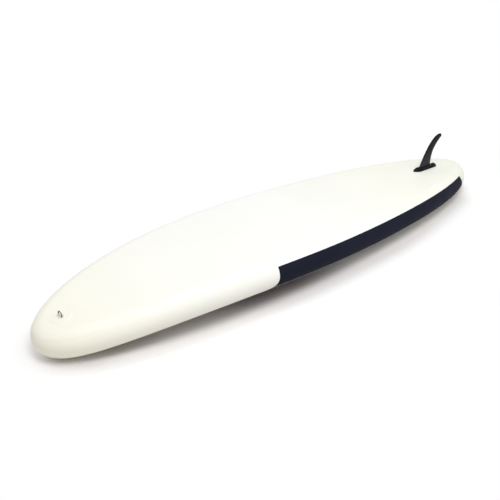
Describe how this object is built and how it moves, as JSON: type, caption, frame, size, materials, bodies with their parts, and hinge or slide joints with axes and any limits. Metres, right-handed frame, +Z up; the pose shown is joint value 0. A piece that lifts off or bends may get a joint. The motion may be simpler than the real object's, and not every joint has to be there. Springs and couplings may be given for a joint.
{
  "type": "stand-up paddle board",
  "caption": "Inflatable stand-up paddle board lying hull side up, with a raked slide-in fin, a nose tow ring, a deck pad, a carry handle and an inflation valve.",
  "frame": {"origin": "on the floor under the middle of the board's outline, on its centre plane", "axes": "+X from the nose towards the tail, +Y to port in the board's own sense of the hull side up, +Z up, out of the hull side"},
  "size_m": [3.0549, 0.8098, 0.3727],
  "materials": {
    "white_vinyl": "satin, slightly cream white coated fabric",
    "navy_vinyl": "satin, very dark blue coated fabric",
    "core_fabric": "woven base fabric and threads",
    "deck_foam": "matt closed-cell foam",
    "dark_vinyl": "matt coated fabric",
    "webbing": "woven tape",
    "stainless_steel": "polished wire",
    "valve_plastic": "moulded",
    "seal_rubber": "smooth seal rubber",
    "fin_plastic": "moulded, slightly satin"
  },
  "bodies": {
    "board": {"cargo_loop_1": "webbing", "cargo_loop_2": "webbing", "cargo_loop_3": "webbing", "cargo_loop_4": "webbing", "cargo_patch_1": "dark_vinyl", "cargo_patch_2": "dark_vinyl", "cargo_patch_3": "dark_vinyl", "cargo_patch_4": "dark_vinyl", "deck_pad": "deck_foam", "deck_skin": "white_vinyl", "drop_stitch_core": "core_fabric", "fin_box": "fin_plastic", "handle_front_patch": "dark_vinyl", "handle_grip": "deck_foam", "handle_rear_patch": "dark_vinyl", "handle_strap": "webbing", "hull_skin": "white_vinyl", "leash_loop": "webbing", "leash_patch": "dark_vinyl", "nose_rail_wrap": "white_vinyl", "nose_ring_loop": "white_vinyl", "nose_ring_patch": "white_vinyl", "port_rail_panel": "navy_vinyl", "starboard_rail_panel": "navy_vinyl", "tail_kick_pad": "deck_foam", "tail_rail_wrap": "white_vinyl", "valve_body": "valve_plastic", "valve_clamp_nut": "valve_plastic", "valve_gasket": "seal_rubber", "valve_spring": "stainless_steel"},
    "fin": {"fin": "fin_plastic"},
    "fin_lock_screw": {"fin_lock_screw": "fin_plastic"},
    "tow_ring": {"nose_tow_ring": "stainless_steel"},
    "cargo_ring_1": {"cargo_ring_1": "stainless_steel"},
    "cargo_ring_2": {"cargo_ring_2": "stainless_steel"},
    "cargo_ring_3": {"cargo_ring_3": "stainless_steel"},
    "cargo_ring_4": {"cargo_ring_4": "stainless_steel"},
    "leash_ring": {"leash_ring": "stainless_steel"},
    "valve_cap": {"valve_cap": "valve_plastic"},
    "valve_stem": {"valve_stem": "seal_rubber"}
  },
  "joints": [
    {"name": "fin_slide", "type": "slide", "parent": "board", "child": "fin", "axis": [0.9985, 0, -0.0543], "range_m": [0, 0.185]},
    {"name": "fin_lock_turn", "type": "hinge", "parent": "fin", "child": "fin_lock_screw", "pos_m": [1.13039, 0, 0.19233], "axis": [0.0543, 0, 0.9985], "range_deg": [0, 360]},
    {"name": "tow_ring_hinge", "type": "hinge", "parent": "board", "child": "tow_ring", "pos_m": [-1.38894, 0, 0.17024], "axis": [0, -1, 0], "range_deg": [-82, 88]},
    {"name": "cargo_ring_1_hinge", "type": "hinge", "parent": "board", "child": "cargo_ring_1", "pos_m": [-1.04596, -0.15, 0.05807], "axis": [0, 1, 0], "range_deg": [-90.5, 79.5]},
    {"name": "cargo_ring_2_hinge", "type": "hinge", "parent": "board", "child": "cargo_ring_2", "pos_m": [-1.04596, 0.15, 0.05807], "axis": [0, 1, 0], "range_deg": [-90.5, 79.5]},
    {"name": "cargo_ring_3_hinge", "type": "hinge", "parent": "board", "child": "cargo_ring_3", "pos_m": [-0.72067, -0.195, 0.07709], "axis": [0, 1, 0], "range_deg": [-86.5, 83.5]},
    {"name": "cargo_ring_4_hinge", "type": "hinge", "parent": "board", "child": "cargo_ring_4", "pos_m": [-0.72067, 0.195, 0.07709], "axis": [0, 1, 0], "range_deg": [-86.5, 83.5]},
    {"name": "leash_ring_hinge", "type": "hinge", "parent": "board", "child": "leash_ring", "pos_m": [1.37638, 0, 0.00793], "axis": [0, 1, 0], "range_deg": [-6, 164]},
    {"name": "valve_cap_turn", "type": "hinge", "parent": "board", "child": "valve_cap", "pos_m": [1.27202, 0, 0.01879], "axis": [-0.0565, 0, -0.9984], "range_deg": [0, 90]},
    {"name": "valve_stem_press", "type": "slide", "parent": "board", "child": "valve_stem", "axis": [0.0565, 0, 0.9984], "range_m": [0, 0.005], "stiffness_N_per_m": 300, "springref_m": -0.004, "deforming": ["valve_spring"]}
  ]
}
